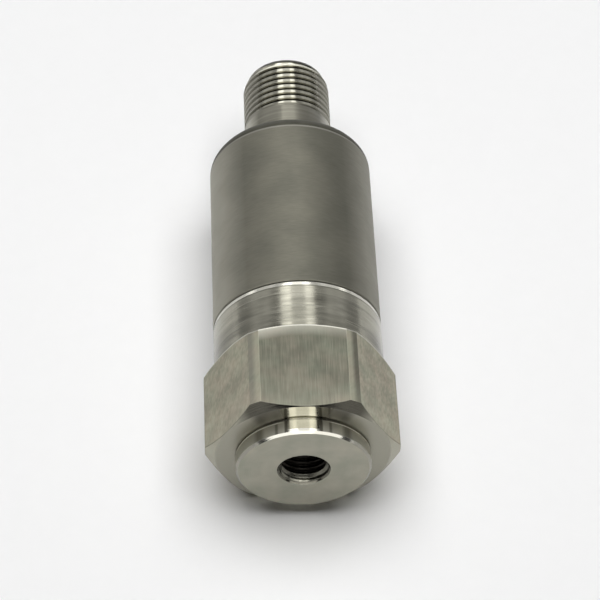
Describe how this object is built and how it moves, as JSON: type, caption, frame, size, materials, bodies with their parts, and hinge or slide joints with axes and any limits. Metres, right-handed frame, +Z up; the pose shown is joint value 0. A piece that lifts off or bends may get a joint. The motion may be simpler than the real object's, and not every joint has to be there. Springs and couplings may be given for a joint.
{
  "type": "vibration sensor",
  "caption": "Stainless vibration sensor with a hexagon base, a raised tapped mounting face, a plain welded sleeve and a threaded circular plug with contact pins.",
  "frame": {"origin": "centre of the mounting face, on the sensor's axis", "axes": "+Y along the sensor's axis towards the plug, +Z up from the flat that it lies on"},
  "size_m": [0.0246, 0.0643, 0.022],
  "materials": {
    "turned_stainless": "turned and milled",
    "satin_stainless": "fine satin, circumferential grain",
    "plug_steel": "turned, bright",
    "seal_rubber": "matte",
    "carrier_plastic": "moulded",
    "contact_gold": "gold plated",
    "board_laminate": "solder mask over glass laminate",
    "element_can": "nickel plated lid",
    "screw_steel": "plain",
    "cradle_plastic": "moulded",
    "liner_film": "rolled film",
    "chip_resin": "moulded epoxy",
    "crystal_can": "plated can",
    "coil_ferrite": "sintered ferrite",
    "capacitor_resin": "moulded epoxy",
    "chip_ceramic": "fired"
  },
  "bodies": {
    "root": {"base": "turned_stainless", "sleeve": "satin_stainless", "plug_shell": "plug_steel", "plug_seal": "seal_rubber", "contact_carrier": "carrier_plastic", "contact_pin_1": "contact_gold", "contact_pin_2": "contact_gold", "contact_pin_3": "contact_gold", "contact_pin_4": "contact_gold", "contact_board": "board_laminate", "main_board": "board_laminate", "sensor_board": "board_laminate", "sensing_element": "element_can", "board_screws": "screw_steel", "board_cradle": "cradle_plastic", "liner": "liner_film", "processor_chip": "chip_resin", "clock_crystal": "crystal_can", "loop_driver": "chip_resin", "power_coil": "coil_ferrite", "storage_capacitor": "capacitor_resin", "surge_diodes": "chip_resin", "chip_capacitors": "chip_ceramic"}
  },
  "joints": []
}
